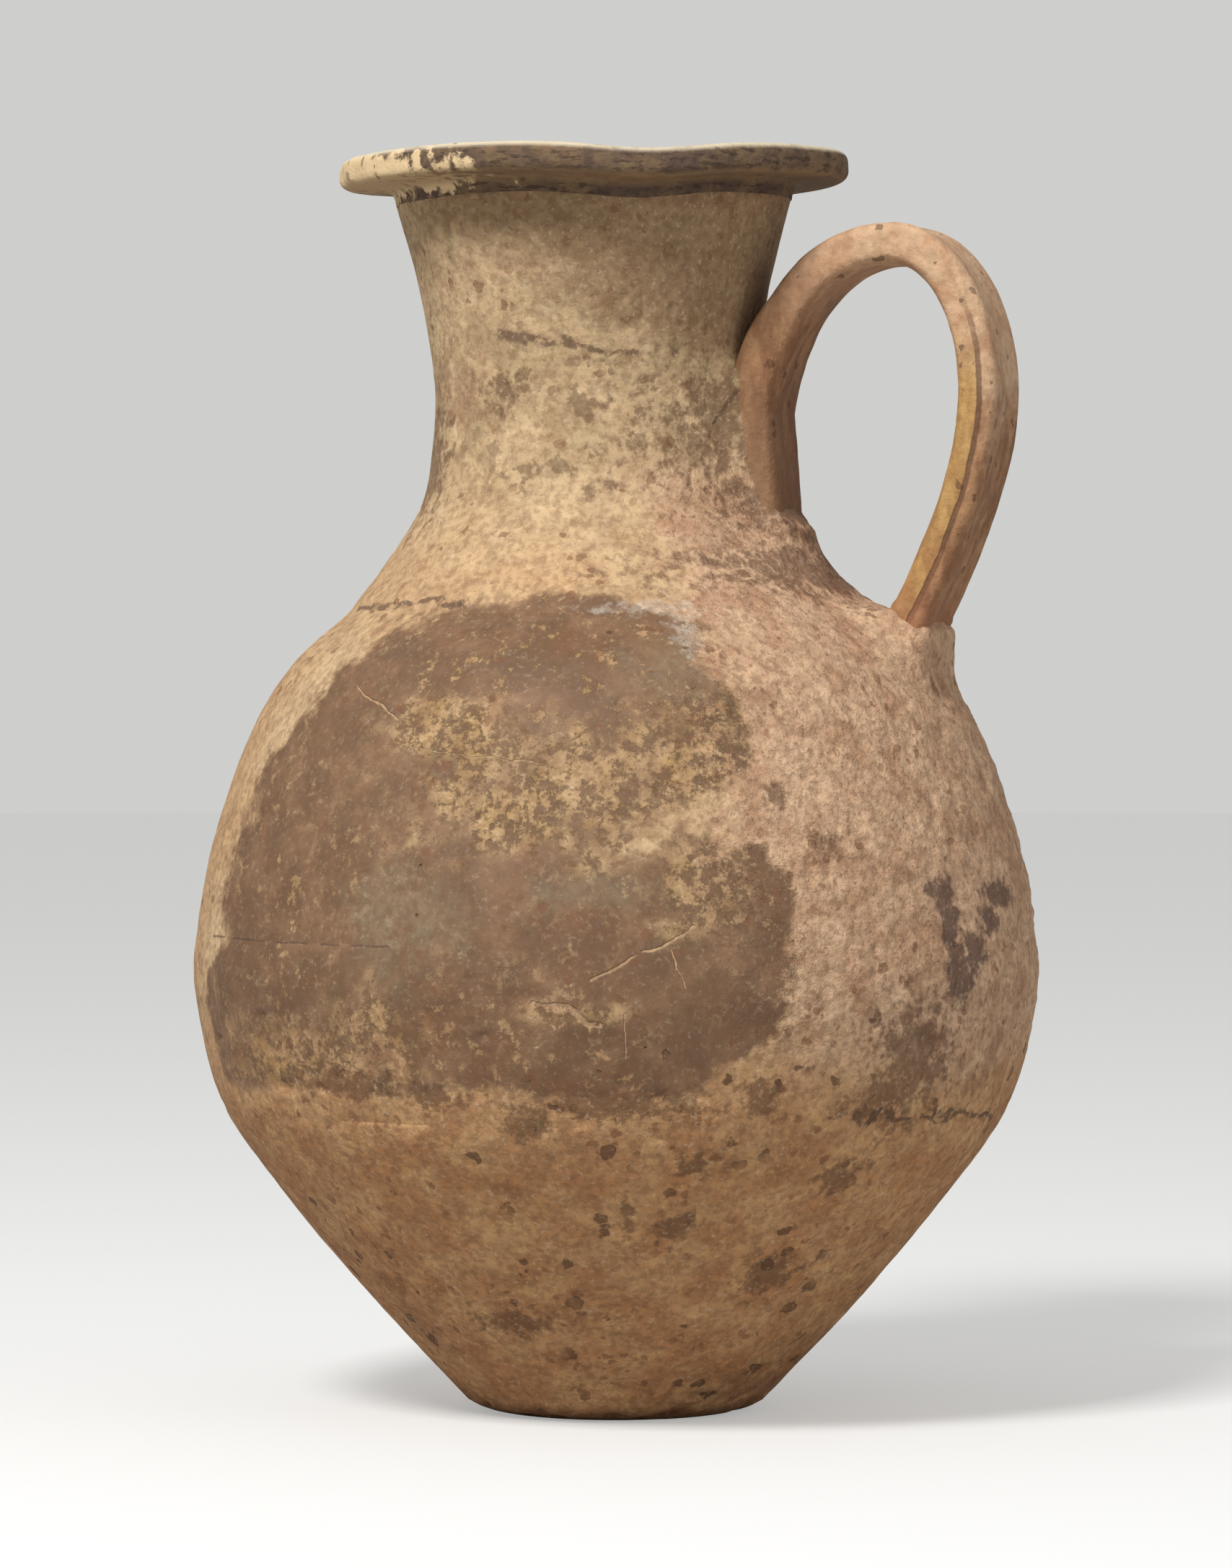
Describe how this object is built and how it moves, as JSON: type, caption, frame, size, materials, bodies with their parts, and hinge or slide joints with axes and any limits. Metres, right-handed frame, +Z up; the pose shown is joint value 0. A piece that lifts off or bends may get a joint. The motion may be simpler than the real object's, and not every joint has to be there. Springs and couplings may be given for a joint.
{
  "type": "jug",
  "caption": "Hand-built fired clay jug with a narrow foot, round body, flaring neck, flat turned-out rim and one strap handle.",
  "frame": {"origin": "middle of the foot's flat face, which is the body's axis", "axes": "+Z up the body's axis, +X towards the handle"},
  "size_m": [0.2346, 0.2346, 0.348],
  "materials": {
    "buff_clay": "matt, pitted buff to orange-brown clay",
    "smoked_clay": "smoke-darkened clay with a soft burnish",
    "crusted_clay": "matt clay under a pale, grainy crust",
    "neck_clay": "matt yellowish clay",
    "rim_clay": "worn grey-brown clay with pale chips",
    "handle_clay": "matt clay, smoothed by hand",
    "wad_clay": "matt clay, smeared with the fingers"
  },
  "bodies": {
    "root": {"base_disc": "buff_clay", "lower_body": "buff_clay", "belly_band": "smoked_clay", "shoulder": "crusted_clay", "neck": "neck_clay", "rim": "rim_clay", "handle": "handle_clay", "upper_handle_wad": "wad_clay", "lower_handle_wad": "wad_clay"}
  },
  "joints": []
}
